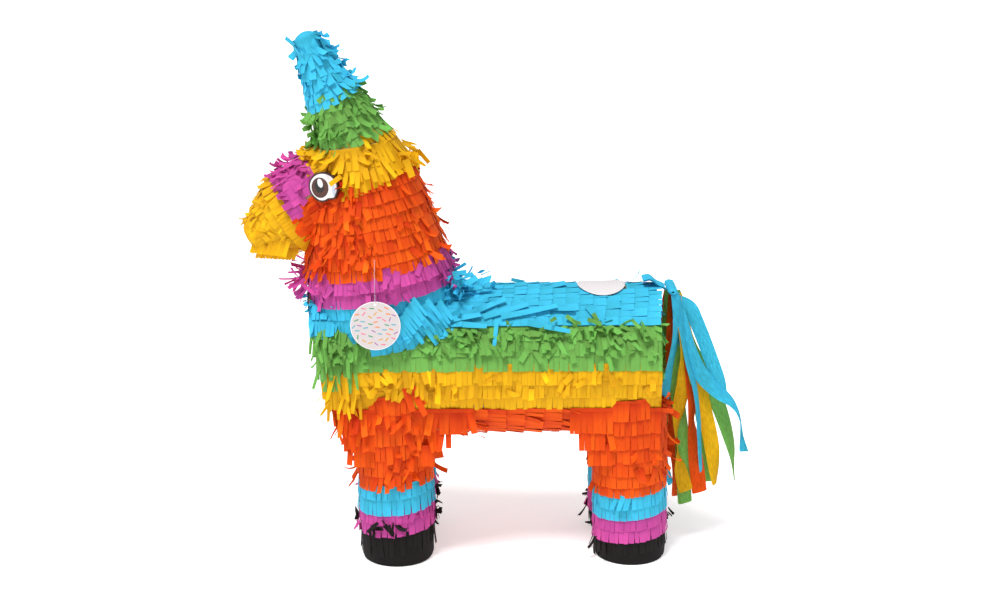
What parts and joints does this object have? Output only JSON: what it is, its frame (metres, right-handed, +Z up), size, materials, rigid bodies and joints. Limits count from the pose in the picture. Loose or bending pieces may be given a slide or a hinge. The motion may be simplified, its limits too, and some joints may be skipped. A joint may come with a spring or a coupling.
{
  "type": "pinata",
  "caption": "Standing donkey pinata of card tubes covered with rows of crepe paper fringe, with a filling hole in its back, a swing tag and a streamer tail.",
  "frame": {"origin": "on the floor under the middle of the object's length and width", "axes": "+Z up, -X towards the head, +X towards the tail, -Y towards the side with the swing tag"},
  "size_m": [0.533, 0.1671, 0.5488],
  "materials": {
    "card": "matte",
    "crepe_blue": "matte",
    "crepe_green": "matte",
    "crepe_yellow": "matte",
    "crepe_orange": "matte",
    "crepe_magenta": "matte",
    "crepe_black": "matte",
    "crepe_red": "matte",
    "print_card": "satin",
    "sticker": "satin",
    "clear_nylon": "gloss"
  },
  "bodies": {
    "donkey": {"barrel_shell": "card", "chest_panel": "card", "rump_panel": "card", "neck_shell": "card", "head_shell": "card", "ear_shell": "card", "ear_tip": "crepe_blue", "muzzle_shell": "card", "muzzle_cap": "crepe_yellow", "leg_front_near": "card", "leg_front_far": "card", "leg_hind_near": "card", "leg_hind_far": "card", "foot_front_near": "card", "foot_front_far": "card", "foot_hind_near": "card", "foot_hind_far": "card", "back_blue": "crepe_blue", "body_green": "crepe_green", "body_yellow": "crepe_yellow", "belly_orange": "crepe_orange", "neck_blue": "crepe_blue", "neck_magenta": "crepe_magenta", "neck_orange": "crepe_orange", "head_yellow": "crepe_yellow", "nose_magenta": "crepe_magenta", "muzzle_yellow": "crepe_yellow", "ear_green": "crepe_green", "ear_blue": "crepe_blue", "front_near_orange": "crepe_orange", "front_near_blue": "crepe_blue", "front_near_magenta": "crepe_magenta", "front_near_black": "crepe_black", "front_far_orange": "crepe_orange", "front_far_blue": "crepe_blue", "front_far_magenta": "crepe_magenta", "front_far_black": "crepe_black", "hind_near_orange": "crepe_orange", "hind_near_blue": "crepe_blue", "hind_near_magenta": "crepe_magenta", "hind_near_black": "crepe_black", "hind_far_orange": "crepe_orange", "hind_far_blue": "crepe_blue", "hind_far_magenta": "crepe_magenta", "hind_far_black": "crepe_black", "eye_near": "print_card", "eye_far": "print_card", "tail_tab": "crepe_blue"},
    "tag": {"tag_fastener": "clear_nylon", "swing_tag": "print_card"},
    "flap": {"fill_flap": "card", "fill_patch": "crepe_blue", "fill_sticker": "sticker"},
    "tail": {"tail_knot": "crepe_blue", "tail_blue": "crepe_blue", "tail_green": "crepe_green", "tail_yellow": "crepe_yellow", "tail_orange": "crepe_orange", "tail_red": "crepe_red"}
  },
  "joints": [
    {"name": "tag_swing", "type": "hinge", "parent": "donkey", "child": "tag", "pos_m": [-0.1255, -0.0795, 0.33], "axis": [0, 1, 0], "range_deg": [-45, 45]},
    {"name": "fill_flap_hinge", "type": "hinge", "parent": "donkey", "child": "flap", "pos_m": [0.105, 0.0219, 0.2833], "axis": [-1, 0, 0], "range_deg": [0, 110]},
    {"name": "tail_swing", "type": "hinge", "parent": "donkey", "child": "tail", "pos_m": [0.178, 0, 0.282], "axis": [0, -1, 0], "range_deg": [0, 75]}
  ]
}
